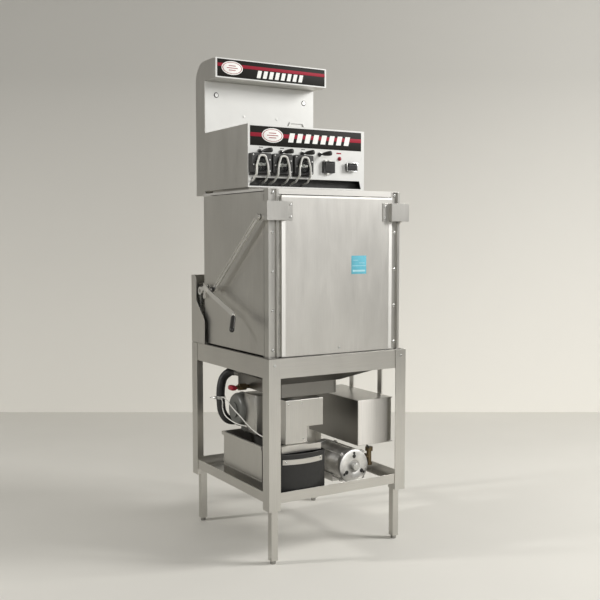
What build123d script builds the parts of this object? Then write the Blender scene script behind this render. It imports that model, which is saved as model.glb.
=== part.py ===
"""Ventless low-temperature door-type dishwasher on a leg frame.

Millimetres. +X is to the right of someone facing the door, -Y is the front, +Z is up.
The origin is on the floor under the middle of the whole machine.
"""
from build123d import *
import os
from math import cos, radians, sin

os.makedirs("parts", exist_ok=True)

# Driving dimensions ---------------------------------------------------------
FRAME_HALF = 350.0        # half the width over the legs
FRAME_FRONT = -396.0
FRAME_REAR = 356.0
TABLE_Z = 864.0           # top of the frame, the height of a dish table
LEG_BOTTOM = 230.0
LEG_FLANGE = 55.0
PLATE = 3.0               # frame steel
SHEET = 1.5               # body steel
FOOT_X = 314.0
FOOT_FRONT = -362.0
FOOT_REAR = 322.0
FOOT_TUBE = 30.0

BODY_HALF = 333.5         # half the width of the wash chamber
BODY_FRONT = -365.0
BODY_REAR = 247.0
BODY_TOP = 1562.0
POST_WIDTH = 46.5
DECK_Z = TABLE_Z + 2.0    # top of the pan flange that the chamber stands on

DOOR_HALF = 281.0
DOOR_FRONT = -380.0
DOOR_BACK = -366.0
DOOR_BOTTOM = 868.0
DOOR_TOP = 1534.0

SPIN_Y = -60.0            # axis of the wash arms
SHAFT_Y = 270.0           # cross shaft behind the chamber
SHAFT_Z = 1112.0
SHAFT_R = 10.0
RUN_GAP = 0.06            # radial clearance of shafts that turn

BOX_HALF = 303.0          # control box
BOX_FRONT = -133.0
BOX_BOTTOM = 1577.0
BOX_TOP = 1847.0
VENT_HALF = 299.0         # heat-recovery vent behind and above the control box
VENT_FRONT = 303.0
VENT_REAR = 400.0
HEAD_FRONT = 188.0
HEAD_BOTTOM = 2090.0
HEAD_TOP = 2180.0

LINK_X = 366.0            # middle plane of the door links
ROLLER_X = 376.5          # middle plane of the link rollers and the lever bars
LINK_TOP = (-338.0, 1447.0)
LINK_LOW = (75.0, 1129.0)
ARM_REAR = (-344.5, 231.0, 1139.0)
ARM_BEND = (-376.5, 115.0, 1118.0)
ARM_FRONT = (-376.5, -141.0, 1029.0)
GRIP_END = (432.0, -225.0, 970.0)

PUMP_X = (-253.0, -147.0, -39.0)
PUMP_Z = 1680.0
TOGGLE_X = (-246.0, -141.0, -33.0, 58.0)
TOGGLE_Z = 1731.0


# Shape helpers --------------------------------------------------------------
def block(x0, x1, y0, y1, z0, z1):
    """A box between two corners."""
    return Pos((x0 + x1) / 2, (y0 + y1) / 2, (z0 + z1) / 2) * Box(x1 - x0, y1 - y0, z1 - z0)


def rod(start, end, radius):
    """A round bar from one point to another."""
    along = Vector(*end) - Vector(*start)
    return extrude(Plane(origin=Vector(*start), z_dir=along) * Circle(radius), along.length)


def prism_x(points, x0, x1):
    """A (y, z) outline carried along X."""
    return extrude(Plane.YZ.offset(x0) * Polygon(*points, align=None), x1 - x0, dir=(1, 0, 0))


def prism_y(points, y0, y1):
    """An (x, z) outline carried along Y."""
    plane = Plane(origin=(0, y1, 0), x_dir=(1, 0, 0), z_dir=(0, -1, 0))
    return extrude(plane * Polygon(*points, align=None), y1 - y0, dir=(0, -1, 0))


def both(shape):
    """A left-hand shape and its mirror image on the right."""
    return [shape, mirror(shape, about=Plane.YZ)]


def hollow(outer, wall, open_face=None):
    """The outer box corners as a shell, with one open side named by its corner index."""
    inner = [outer[i] + (wall if i % 2 == 0 else -wall) for i in range(6)]
    if open_face is not None:
        inner[open_face] = outer[open_face] + (-1 if open_face % 2 == 0 else 1)
    return block(*outer) - block(*inner)


def save(name, *shapes):
    """Write one node: every separate solid of the given shapes."""
    solids = [solid for shape in shapes for solid in shape.solids()]
    node = solids[0] if len(solids) == 1 else Compound(children=solids)
    node.label = name
    export_step(node, f"parts/{name}.step")


# Leg frame ------------------------------------------------------------------
def leg(side, y_face, inward):
    """An angle leg: side is -1 or 1, inward is the sign of y towards the middle."""
    outer = side * FRAME_HALF
    xs = sorted((outer, outer - side * LEG_FLANGE))
    thin = sorted((outer, outer - side * PLATE))
    ys = sorted((y_face, y_face + inward * PLATE))
    deep = sorted((y_face, y_face + inward * LEG_FLANGE))
    return block(*xs, *ys, LEG_BOTTOM, TABLE_Z) + block(*thin, *deep, LEG_BOTTOM, TABLE_Z)


save("legs", *[leg(side, y, sign) for side in (-1, 1) for y, sign in ((FRAME_FRONT, 1), (FRAME_REAR, -1))])

RAIL_OUT = FRAME_HALF - PLATE
RAIL_IN = RAIL_OUT - PLATE


def rail_set(z0, z1, flange_z, depth):
    """Four rails of one level: upright faces just inside the legs, flanges turned inwards."""
    front = FRAME_FRONT + PLATE
    rear = FRAME_REAR - PLATE
    low, high = flange_z, flange_z + PLATE
    rails = []
    for side in (-1, 1):
        face = sorted((side * RAIL_OUT, side * RAIL_IN))
        lip = sorted((side * RAIL_OUT, side * (RAIL_OUT - depth)))
        rails.append(block(*face, front, rear, z0, z1) + block(*lip, front + depth, rear - depth, low, high))
    front_web = block(-RAIL_IN, RAIL_IN, front, front + PLATE, z0, z1)
    rails.append(front_web + block(-RAIL_IN, RAIL_IN, front, front + depth, low, high))
    rear_web = block(-RAIL_IN, RAIL_IN, rear - PLATE, rear, z0, z1)
    rails.append(rear_web + block(-RAIL_IN, RAIL_IN, rear - depth, rear, low, high))
    return rails


save("frame_rails", *rail_set(782, TABLE_Z, TABLE_Z - PLATE, 27), *rail_set(261, 304, 261, 40))

TUBE_BOTTOM = 14.0
TUBE_TOP = 260.5
FEET = [(x, y) for x in (-FOOT_X, FOOT_X) for y in (FOOT_FRONT, FOOT_REAR)]


def foot_tube(x, y):
    """A square leg extension in its socket block in the corner of the leg."""
    half = FOOT_TUBE / 2
    tube = block(x - half, x + half, y - half, y + half, TUBE_BOTTOM, TUBE_TOP)
    bore = block(x - half + 2, x + half - 2, y - half + 2, y + half - 2, TUBE_BOTTOM - 1, TUBE_TOP + 1)
    side = 1 if x > 0 else -1
    away = 1 if y > 0 else -1
    wall_x = side * RAIL_OUT
    wall_y = FRAME_REAR - PLATE if y > 0 else FRAME_FRONT + PLATE
    xs = sorted((wall_x, x - side * (half + 3)))
    ys = sorted((wall_y, y - away * (half + 3)))
    socket = block(*xs, *ys, LEG_BOTTOM + 2, 258) - block(x - half, x + half, y - half, y + half, 200, 300)
    return (tube - bore) + socket


def foot(x, y):
    """A bullet foot whose stem fills the bottom of the tube."""
    pad = Pos(x, y, 5) * Cylinder(12, 10) + Pos(x, y, 12) * Cylinder(9, 6)
    plug = FOOT_TUBE - 4.2
    stem = block(x - plug / 2, x + plug / 2, y - plug / 2, y + plug / 2, TUBE_BOTTOM, 40)
    return pad + stem


save("leg_extensions", *[foot_tube(x, y) for x, y in FEET])
save("leveling_feet", *[foot(x, y) for x, y in FEET])

DECK_LOW = 264.0
DECK_TOP = 267.0
deck = block(-320, -45, -345, 300, DECK_LOW, DECK_TOP)
for bar_y in (-330, -130, 60):
    deck += block(-343.9, 343.9, bar_y - 20, bar_y + 20, DECK_LOW, DECK_TOP)
save("equipment_deck", deck)

# Rear housing: two side cheeks and a back sheet around the cross shaft and the springs.
HOUSING_TOP = 1184.0
cheek = [(353, TABLE_Z + 2), (353, HOUSING_TOP), (334, HOUSING_TOP), (316, 1181), (306, 1172), (303, 1160),
         (303, 1067), (218, 980), (215, 972), (215, TABLE_Z + 2)]
housing = block(-FRAME_HALF, FRAME_HALF, 353, FRAME_REAR, TABLE_Z + 2, HOUSING_TOP)
for cheek_side in both(prism_x(cheek, -FRAME_HALF, -FRAME_HALF + 2)):
    housing += cheek_side
for anchor in both(block(-333, -303, 305, 353, 880, 884)):
    housing += anchor
save("rear_housing", housing)


# Wash chamber ---------------------------------------------------------------
def front_post(depth=37.0):
    """Left front corner post: a lipped guide channel in front and a flange round the side."""
    out = -BODY_HALF
    inn = out + POST_WIDTH
    y0 = BODY_FRONT
    shape = block(out, out + 11, y0, y0 + 3, DECK_Z, BODY_TOP - 3)
    shape += block(inn - 9, inn, y0, y0 + 3, DECK_Z, BODY_TOP - 3)
    shape += block(out + 8, out + 11, y0, y0 + 12, DECK_Z, BODY_TOP - 3)
    shape += block(inn - 9, inn - 6, y0, y0 + 12, DECK_Z, BODY_TOP - 3)
    shape += block(out + 8, inn - 6, y0 + 9, y0 + 12, DECK_Z, BODY_TOP - 3)
    shape += block(out, out + 3, y0, y0 + depth, DECK_Z, BODY_TOP - 3)
    shape += block(inn - 2, inn, y0, y0 + 30, DECK_Z, BODY_TOP - 3)
    return shape


rear_post = block(-329, -299, 241, 243, DECK_Z, 1550) + block(-329, -327, 213, 243, DECK_Z, 1550)
save("guide_posts", *both(front_post()), *both(rear_post))

PANEL_FRONT = BODY_FRONT + 39.5
side_sheet = block(-BODY_HALF, -BODY_HALF + SHEET, PANEL_FRONT, BODY_REAR, DECK_Z + 6, 1549)
side_sheet += block(-BODY_HALF, -BODY_HALF + 4.5, PANEL_FRONT, PANEL_FRONT + SHEET, DECK_Z + 6, 1549)
side_sheet += block(-BODY_HALF, -BODY_HALF + 4.5, BODY_REAR - SHEET, BODY_REAR, DECK_Z + 6, 1549)

back = block(-331.5, 331.5, 243, 245, DECK_Z, 1550)
for rib_x in (-160, 160):
    back -= block(rib_x - 9, rib_x + 9, 242, 243.8, DECK_Z + 60, 1480)
save("chamber_panels", *both(side_sheet), back)

hood = block(-BODY_HALF, BODY_HALF, BODY_FRONT, BODY_REAR, BODY_TOP - 3, BODY_TOP)
hood += block(-BODY_HALF + POST_WIDTH + 0.5, BODY_HALF - POST_WIDTH - 0.5, BODY_FRONT, BODY_FRONT + 2, 1538,
              BODY_TOP)
for skirt in both(block(-BODY_HALF, -BODY_HALF + 2, PANEL_FRONT, BODY_REAR, 1552, BODY_TOP)):
    hood += skirt
save("chamber_hood", hood)

TANK_WALL = 2.0


def tank_solid(inset):
    """The pan below the chamber narrowing to the sump box, made smaller by the inset all round."""
    wide = (-318 + inset, 318 - inset, -350 + inset, 228 - inset)
    deep = (-235 + inset, 60 - inset, -300 + inset, 100 - inset)
    rim_z, slope_z, neck_z, floor_z = TABLE_Z + 3, 792, 738, 682 + inset

    def outline(size, z):
        plane = Plane.XY.offset(z)
        middle = Pos((size[0] + size[1]) / 2, (size[2] + size[3]) / 2)
        return plane * middle * Rectangle(size[1] - size[0], size[3] - size[2])

    collar = block(*wide, slope_z, rim_z if inset else TABLE_Z)
    funnel = loft([outline(wide, slope_z), outline(deep, neck_z)])
    sump = block(*deep, floor_z, neck_z)
    sump = fillet(sump.edges().filter_by(Axis.Z).group_by(Axis.X)[-1], 40 - inset)
    return collar + funnel + sump


tank = tank_solid(0) - tank_solid(TANK_WALL)
flange = block(-344, 344, -390, 350, TABLE_Z, DECK_Z) - block(-316, 316, -348, 226, TABLE_Z - 1, DECK_Z + 1)
spigot = rod((-205, 96, 730), (-230, 152, 738), 17)
save("sump_tank", tank + flange + (spigot - tank_solid(TANK_WALL)))


def scrap_screen(x0, x1):
    """A lift-out perforated tray with a turned-up rim and a finger bail."""
    z = 800
    tray = block(x0, x1, -330, 205, z, z + 2)
    tray += block(x0, x1, -330, 205, z, z + 16) - block(x0 + 2, x1 - 2, -328, 203, z, z + 18)
    mid = (x0 + x1) / 2
    holes = [Pos(mid + i * 44, j * 44 - 62, z + 1) * Cylinder(8, 4)
             for i in range(-2, 3) for j in range(-5, 6)]
    for hole in holes:
        tray -= hole
    return tray


save("scrap_screens", scrap_screen(-306, -20), scrap_screen(20, 306))

RACK_Z = 940.0
rack = block(-262, -250, -320, 236, RACK_Z, RACK_Z + 3) + block(-262, -259, -320, 236, RACK_Z, RACK_Z + 22)
rack += mirror(rack, about=Plane.YZ)
for tie_y in (-310, 228):
    rack += block(-326, 326, tie_y, tie_y + 6, RACK_Z - 8, RACK_Z)
    for leg_x in (-326, 318):
        rack += block(leg_x, leg_x + 8, tie_y, tie_y + 6, DECK_Z, RACK_Z)
save("rack_guide", rack)

PIPE_R = 12.0
RISER_Y = 212.0
LOWER_PIPE_Z = 880.0
UPPER_PIPE_Z = 1536.0
SPINDLE_R = 8.0
pipe_run = FilletPolyline((0, SPIN_Y + 2, LOWER_PIPE_Z), (0, RISER_Y, LOWER_PIPE_Z),
                          (0, RISER_Y, UPPER_PIPE_Z),
                          (0, SPIN_Y + 2, UPPER_PIPE_Z), radius=24)
manifold = sweep(Plane(origin=(0, SPIN_Y + 2, LOWER_PIPE_Z), z_dir=(0, 1, 0)) * Circle(PIPE_R), path=pipe_run)
for spindle_z, tip in ((LOWER_PIPE_Z, 930.0), (UPPER_PIPE_Z, 1486.0)):
    manifold += Pos(0, SPIN_Y, spindle_z) * Sphere(16)
    low, high = sorted((spindle_z, tip))
    manifold += rod((0, SPIN_Y, low), (0, SPIN_Y, high), SPINDLE_R)
manifold += block(-30, 30, RISER_Y + 10, 243, 1180, 1200)
save("wash_manifold", manifold)


def wash_arm(z, up):
    """A spinning spray arm: a flat hollow bar with a hub and a row of nozzles."""
    bar = extrude(Plane.XY.offset(z) * Pos(0, SPIN_Y) * SlotOverall(470, 38), 13)
    bar = fillet(bar.edges().filter_by(Axis.Z, reverse=True), 3)
    hub_low, hub_high = (z - 6, z + 16) if up > 0 else (z - 3, z + 19)
    arm = bar + rod((0, SPIN_Y, hub_low), (0, SPIN_Y, hub_high), 20)
    for i in range(1, 6):
        for side in (-1, 1):
            nozzle_z = z + 13 if up > 0 else z - 3
            arm += Pos(side * (25 + i * 38), SPIN_Y + side * 4, nozzle_z + 1.5) * Cylinder(6, 3)
            arm -= Pos(side * (25 + i * 38), SPIN_Y + side * 4, z + 6.5) * Box(3, 9, 24)
    return arm - rod((0, SPIN_Y, z - 30), (0, SPIN_Y, z + 40), SPINDLE_R + RUN_GAP)


save("lower_wash_arm", wash_arm(906, 1))
save("upper_wash_arm", wash_arm(1493, -1))


# Sliding door ---------------------------------------------------------------
def track():
    """Left door track: a nylon channel on the inner face of the front post."""
    x0 = -BODY_HALF + POST_WIDTH
    channel = block(x0, x0 + 14, BODY_FRONT + 3.5, BODY_FRONT + 27, DECK_Z + 2, 1536)
    return channel - block(x0 + 3, x0 + 15, BODY_FRONT + 7, BODY_FRONT + 23.5, DECK_Z, 1537)


save("door_tracks", *both(track()))

door = block(-DOOR_HALF, DOOR_HALF, DOOR_FRONT, DOOR_BACK, DOOR_BOTTOM, DOOR_TOP)
door -= block(-DOOR_HALF + SHEET, DOOR_HALF - SHEET, DOOR_FRONT + SHEET, DOOR_BACK + 1, DOOR_BOTTOM + SHEET,
              DOOR_TOP - SHEET)
for lip in both(block(-DOOR_HALF + 0.1, -DOOR_HALF + 24, DOOR_BACK - SHEET, DOOR_BACK, DOOR_BOTTOM + 2,
                      DOOR_TOP - 2)):
    door += lip
for rib_z in (1010, 1200, 1390):
    door += block(-DOOR_HALF + 1, DOOR_HALF - 1, DOOR_FRONT + 1, DOOR_BACK, rib_z, rib_z + 2)
save("front_door", door)

SHOE_Z = (885, 990, 1095)


def shoe(z):
    """A nylon guide shoe: a neck behind the door and a head in the track."""
    neck = block(-271, -262, DOOR_BACK, BODY_FRONT + 21, z, z + 60)
    return neck + block(-283, -262, BODY_FRONT + 9.5, BODY_FRONT + 21, z, z + 60)


save("door_shoes", *[s for z in SHOE_Z for s in both(shoe(z))])

BRACKET_LOW = 1431.0
BRACKET_HIGH = 1509.0


def door_bracket():
    """Left corner bracket: screwed to the door, it reaches round the post to the link pivot."""
    z0, z1 = BRACKET_LOW, BRACKET_HIGH
    shape = block(-359, -264, -400, -397, z0, z1)
    shape += block(-267, -264, -400, DOOR_FRONT, z0, z1)
    shape += block(-267, -230, DOOR_FRONT - 3, DOOR_FRONT, z0, z1)
    shape += block(-359, -356, -400, -322, z0, z1)
    shape += rod((-370.5, *LINK_TOP), (-356, *LINK_TOP), 6)
    shape += rod((-374, *LINK_TOP), (-370.4, *LINK_TOP), 14)
    return shape


save("door_brackets", *both(door_bracket()))


# Lift linkage ---------------------------------------------------------------
def strap(start, end, width, x0, x1):
    """A flat bar with round ends between two (y, z) points."""
    along = Vector(end[0] - start[0], end[1] - start[1])
    across = Vector(-along.Y, along.X).normalized() * (width / 2)
    corners = [(start[0] + across.X, start[1] + across.Y), (end[0] + across.X, end[1] + across.Y),
               (end[0] - across.X, end[1] - across.Y), (start[0] - across.X, start[1] - across.Y)]
    bar = prism_x(corners, x0, x1)
    return bar + rod((x0, *start), (x1, *start), width / 2) + rod((x0, *end), (x1, *end), width / 2)


def door_link():
    """Left link: a shallow channel from the bracket pivot down to the roller pin."""
    x0, x1 = -LINK_X - 4, -LINK_X + 4
    bar = strap(LINK_TOP, LINK_LOW, 22, x0, x1)
    run = Vector(LINK_LOW[0] - LINK_TOP[0], LINK_LOW[1] - LINK_TOP[1]).normalized()
    start = (LINK_TOP[0] + run.X * 24, LINK_TOP[1] + run.Y * 24)
    end = (LINK_LOW[0] - run.X * 30, LINK_LOW[1] - run.Y * 30)
    bar -= strap(start, end, 15, -LINK_X - 5, -LINK_X + 1)
    bar -= rod((-LINK_X - 5, *LINK_TOP), (-LINK_X + 5, *LINK_TOP), 6 + RUN_GAP)
    return bar + rod((-382, *LINK_LOW), (-LINK_X - 3, *LINK_LOW), 4)


def link_roller():
    """Black nylon roller on the lower pin of the left link; the lever bar lifts it."""
    ring = rod((-ROLLER_X - 4.5, *LINK_LOW), (-ROLLER_X + 4.5, *LINK_LOW), 11.4)
    return ring - rod((-ROLLER_X - 6, *LINK_LOW), (-ROLLER_X + 6, *LINK_LOW), 4)


save("door_links", *both(door_link()))
save("link_rollers", *both(link_roller()))

BAR_HALF_HEIGHT = 11.5
BAR_THICK = 5.0


def flat_bar(start, end):
    """A bar of upright rectangular section between two points."""
    along = Vector(*end) - Vector(*start)
    plane = Plane(origin=Vector(*start), x_dir=Vector(along.Y, -along.X, 0), z_dir=along)
    return extrude(plane * Rectangle(BAR_THICK, 2 * BAR_HALF_HEIGHT), along.length)


def toward(start, end, distance):
    """The point at a distance from start on the way to end."""
    return Vector(*start) + (Vector(*end) - Vector(*start)).normalized() * distance


GRIP_TIP = (-GRIP_END[0], GRIP_END[1], GRIP_END[2])
ELBOW = toward(ARM_FRONT, ARM_BEND, 6)


def lever():
    """Left lever: hub on the cross shaft, fork straps, the joggled bar and the stem of the grip."""
    shaft_point = (SHAFT_Y, SHAFT_Z)
    shape = flat_bar(ARM_REAR, ARM_BEND) + flat_bar(ARM_BEND, ARM_FRONT)
    shape += rod((ARM_BEND[0], ARM_BEND[1], ARM_BEND[2] - 10.5),
                 (ARM_BEND[0], ARM_BEND[1], ARM_BEND[2] + 10.5), 2.5)
    shape += strap(shaft_point, (214, 1134), 20, -346, -337.5)
    shape += strap((216, 1124), (226, 1086), 17, -347, -342)
    shape += rod((-347, *shaft_point), (-337.5, *shaft_point), 19)
    shape += rod(ELBOW, toward(ELBOW, GRIP_TIP, 90), 5) + Pos(*ELBOW) * Sphere(7)
    return shape - rod((-360, *shaft_point), (-330, *shaft_point), SHAFT_R)


def grip():
    """Left grip: a round-ended black sleeve pushed on the stem."""
    start = toward(ELBOW, GRIP_TIP, 24)
    finish = toward(GRIP_TIP, ELBOW, 11)
    sleeve = rod(start, finish, 11) + Pos(*finish) * Sphere(11) + Pos(*start) * Sphere(11)
    return sleeve - rod(ELBOW, toward(ELBOW, GRIP_TIP, 90), 5)


save("levers", *both(lever()))
save("lever_grips", *both(grip()))

CRANK_X = 300.0
CRANK_RISE = 29.0         # degrees above level with the door down
CRANK_LENGTH = 56.0
crank_tip = (SHAFT_Y + CRANK_LENGTH * cos(radians(CRANK_RISE)),
             SHAFT_Z + CRANK_LENGTH * sin(radians(CRANK_RISE)))
shaft = rod((-347, SHAFT_Y, SHAFT_Z), (347, SHAFT_Y, SHAFT_Z), SHAFT_R)
for crank in both(strap((SHAFT_Y, SHAFT_Z), crank_tip, 24, -CRANK_X - 3, -CRANK_X + 3)):
    shaft += crank
for hook_pin in both(rod((-CRANK_X - 24, *crank_tip), (-CRANK_X, *crank_tip), 4)):
    shaft += hook_pin
save("cross_shaft", shaft)


def bearing():
    """Left shaft bearing: a nylon block bolted to the back of the chamber."""
    body = block(-268, -244, 245.2, 292, SHAFT_Z - 26, SHAFT_Z + 26)
    return body - rod((-270, SHAFT_Y, SHAFT_Z), (-240, SHAFT_Y, SHAFT_Z), SHAFT_R + RUN_GAP)


save("shaft_bearings", *both(bearing()))

SPRING_X = CRANK_X + 19
SPRING_R = 12.0
SPRING_LOW = 908.0
SPRING_HIGH = crank_tip[1] - 30
ANCHOR_TOP = 884.0


def lift_spring():
    """Left counterbalance spring: the closed envelope of the coil with a straight hook wire at each end."""
    coil = rod((0, 0, SPRING_LOW), (0, 0, SPRING_HIGH), SPRING_R + 2)
    low_wire = rod((0, 0, ANCHOR_TOP), (0, 0, SPRING_LOW + 1), 2)
    high_wire = rod((0, 0, SPRING_HIGH - 1), (0, 0, crank_tip[1] - 4), 2)
    return Pos(-SPRING_X, crank_tip[0], 0) * (coil + low_wire + high_wire)


save("lift_springs", *both(lift_spring()))

# Control box ----------------------------------------------------------------
box_shell = hollow((-BOX_HALF, BOX_HALF, BOX_FRONT + 2, VENT_FRONT - 0.5, BOX_BOTTOM, BOX_TOP), SHEET, 2)
box_shell += block(-280, 280, BOX_FRONT + 40, VENT_FRONT - 40, BODY_TOP, BOX_BOTTOM)
save("control_box", box_shell)

SLOT_TOP = 1619.0
SLOT_LOW = BOX_BOTTOM + 6
panel = block(-BOX_HALF, BOX_HALF, BOX_FRONT, BOX_FRONT + 2, BOX_BOTTOM, BOX_TOP)
panel -= prism_y([(-285, SLOT_TOP), (276, SLOT_TOP), (286, SLOT_LOW), (-298, SLOT_LOW)], BOX_FRONT - 1,
                 BOX_FRONT + 3)
panel += block(-299, 299, BOX_FRONT + 2, BOX_FRONT + 42, SLOT_TOP, SLOT_TOP + 2)
panel += block(-299, 299, BOX_FRONT + 40, BOX_FRONT + 42, BOX_BOTTOM + 2, SLOT_TOP)
save("control_panel", panel)

HEAD_R = 26.0


def pump_housing(x):
    """A peristaltic pump body: a moulded block with a round rotor well and a foot flange."""
    body = block(x - 48, x + 48, BOX_FRONT - 30, BOX_FRONT, PUMP_Z - 42, PUMP_Z + 42)
    body = fillet(body.edges().filter_by(Axis.Y), 6)
    body += block(x - 45, x + 45, BOX_FRONT - 12, BOX_FRONT, PUMP_Z - 52, PUMP_Z - 42)
    well = rod((x, BOX_FRONT - 40, PUMP_Z - 6), (x, BOX_FRONT - 10, PUMP_Z - 6), HEAD_R)
    axle = rod((x, BOX_FRONT - 27, PUMP_Z - 6), (x, BOX_FRONT - 9, PUMP_Z - 6), 3)
    return body - well + axle


def pump_rotor(x):
    """A two-arm rotor with a roller at each end, turning on the pump axle."""
    z = PUMP_Z - 6
    y0, y1 = BOX_FRONT - 26, BOX_FRONT - 12
    core = rod((x, y0, z), (x, y1, z), 8)
    for end in (-1, 1):
        core += block(*sorted((x, x + end * 16)), y0, y0 + 4, z - 5, z + 5)
        core += rod((x + end * 16, y0, z), (x + end * 16, y1, z), 6)
    return core - rod((x, y0 - 2, z), (x, y1 + 2, z), 3 + RUN_GAP)


def pump_cover(x):
    """A clear snap-on disc over the rotor."""
    return rod((x, BOX_FRONT - 33, PUMP_Z - 6), (x, BOX_FRONT - 30, PUMP_Z - 6), HEAD_R + 6)


def squeeze_tube(x):
    """The white squeeze tube: an upright loop in front of the pump, both ends in the slot."""
    y = BOX_FRONT - 38.5
    half_loop = [(14, y, PUMP_Z + 32), (27, y, PUMP_Z - 10), (29, y, PUMP_Z - 48),
                 (31, BOX_FRONT - 8, PUMP_Z - 74),
                 (33, BOX_FRONT + 44, PUMP_Z - 88)]
    points = [(x - px, py, pz) for px, py, pz in reversed(half_loop)]
    points += [(x + px, py, pz) for px, py, pz in half_loop]
    path = FilletPolyline(*points, radius=[9, 9, 40, 13, 13, 40, 9, 9])
    tube = sweep(Plane(origin=points[0], z_dir=path % 0) * Circle(4.5), path=path)
    return tube - block(x - 60, x + 60, BOX_FRONT + 40, BOX_FRONT + 60, PUMP_Z - 100, PUMP_Z)


save("pump_housings", *[pump_housing(x) for x in PUMP_X])
for number, pump_x in enumerate(PUMP_X, 1):
    save(f"pump_rotor_{number}", pump_rotor(pump_x))
save("pump_covers", *[pump_cover(x) for x in PUMP_X])
save("squeeze_tubes", *[squeeze_tube(x) for x in PUMP_X])


def toggle(x):
    """A bat-handled toggle thrown to the right, turning on an upright pin in its bushing."""
    root = (x, BOX_FRONT - 9, TOGGLE_Z)
    tip = (x + 30, BOX_FRONT - 45, TOGGLE_Z + 4)
    handle = rod(root, tip, 3.5) + Pos(*tip) * Sphere(9.5) + Pos(*root) * Sphere(5)
    mid = tuple((root[i] + tip[i]) / 2 for i in range(3))
    return handle + rod(mid, tip, 7.5)


def toggle_bushing(x):
    """The threaded collar of a toggle, open in front."""
    collar = rod((x, BOX_FRONT - 5, TOGGLE_Z), (x, BOX_FRONT, TOGGLE_Z), 9)
    return collar - Pos(x, BOX_FRONT - 9, TOGGLE_Z) * Sphere(5.4)


ROCKERS = ((103.0, 1676.0, 30.0, 26.0), (227.0, 1681.0, 27.0, 17.0))


def rocker(x, z, half_w, half_h):
    """A rocker paddle on a level pin, its top edge pressed in."""
    y = BOX_FRONT - 10
    paddle = block(x - half_w + 6, x + half_w - 6, y - 8, y + 3, z - half_h + 5, z + half_h - 5)
    paddle = fillet(paddle.edges().filter_by(Axis.X), 2.5)
    bore = rod((x - half_w, y, z), (x + half_w, y, z), 2 + RUN_GAP)
    return Pos(0, y, z) * Rot(8, 0, 0) * Pos(0, -y, -z) * (paddle - bore)


def rocker_bezel(x, z, half_w, half_h):
    """The frame round a rocker."""
    frame = block(x - half_w, x + half_w, BOX_FRONT - 16, BOX_FRONT, z - half_h, z + half_h)
    frame = fillet(frame.edges().filter_by(Axis.Y), 4)
    frame -= block(x - half_w + 5, x + half_w - 5, BOX_FRONT - 17, BOX_FRONT - 2, z - half_h + 3,
                   z + half_h - 3)
    return frame + rod((x - half_w + 3, BOX_FRONT - 10, z), (x + half_w - 3, BOX_FRONT - 10, z), 2)


for number, toggle_x in enumerate(TOGGLE_X, 1):
    save(f"toggle_{number}", toggle(toggle_x))
save("rocker_left", rocker(*ROCKERS[0]))
save("rocker_right", rocker(*ROCKERS[1]))
save("switch_mounts", *[toggle_bushing(x) for x in TOGGLE_X], *[rocker_bezel(*r) for r in ROCKERS])
dome = Pos(166, BOX_FRONT - 4, 1717) * Sphere(6.5)
dome -= block(150, 180, BOX_FRONT - 3, BOX_FRONT + 20, 1700, 1730)
lamp = rod((166, BOX_FRONT - 4, 1717), (166, BOX_FRONT, 1717), 9) + dome
save("indicator_lamp", lamp)

# Heat-recovery vent ---------------------------------------------------------
SPINE_BOTTOM = 1557.0
CORNER_R = 90.0


def vent_profile():
    """The upright duct with its overhanging head, rounded at the upper rear corner."""
    spine = Pos((VENT_FRONT + VENT_REAR) / 2, (SPINE_BOTTOM + HEAD_TOP) / 2) * Rectangle(
        VENT_REAR - VENT_FRONT, HEAD_TOP - SPINE_BOTTOM)
    head = Pos((HEAD_FRONT + VENT_REAR) / 2, (HEAD_BOTTOM + HEAD_TOP) / 2) * Rectangle(
        VENT_REAR - HEAD_FRONT, HEAD_TOP - HEAD_BOTTOM)
    profile = spine + head
    corner = profile.vertices().sort_by(lambda v: v.X + v.Y)[-1]
    return fillet(corner, CORNER_R)


vent_outer = extrude(Plane.YZ.offset(-VENT_HALF) * vent_profile(), 2 * VENT_HALF)
vent_inner = extrude(Plane.YZ.offset(-VENT_HALF + SHEET) * offset(vent_profile(), -SHEET),
                     2 * VENT_HALF - 2 * SHEET)
housing_shell = vent_outer - vent_inner
housing_shell -= block(-VENT_HALF + 12, VENT_HALF - 12, VENT_FRONT - 2, VENT_FRONT + 3, BOX_TOP + 10,
                       HEAD_BOTTOM - 12)
housing_shell -= block(-VENT_HALF + 10, VENT_HALF - 10, HEAD_FRONT - 2, HEAD_FRONT + 3, HEAD_BOTTOM + 10,
                       HEAD_TOP - 10)
for louver in range(9):
    housing_shell -= block(-200, 200, VENT_REAR - 3, VENT_REAR + 2, 1640 + louver * 26, 1648 + louver * 26)
save("vent_housing", housing_shell)

vent_panel = block(-VENT_HALF + 1, VENT_HALF - 1, VENT_FRONT - 2, VENT_FRONT, BOX_TOP + 1, HEAD_BOTTOM - 1)
pull = [(150, 0), (160, 20), (236, 20), (246, 0), (239, 0), (231, 14), (165, 14), (157, 0)]
pull_z = 1908.0
vent_panel += prism_y([(x, pull_z + z) for x, z in pull], VENT_FRONT - 8, VENT_FRONT - 2)
face = block(-VENT_HALF, VENT_HALF, HEAD_FRONT - 3, HEAD_FRONT, HEAD_BOTTOM, HEAD_TOP)
face -= block(-VENT_HALF + 6, VENT_HALF - 6, HEAD_FRONT - 4, HEAD_FRONT - 2, HEAD_BOTTOM + 5, HEAD_TOP - 5)
save("vent_front_panels", vent_panel, face)

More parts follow.
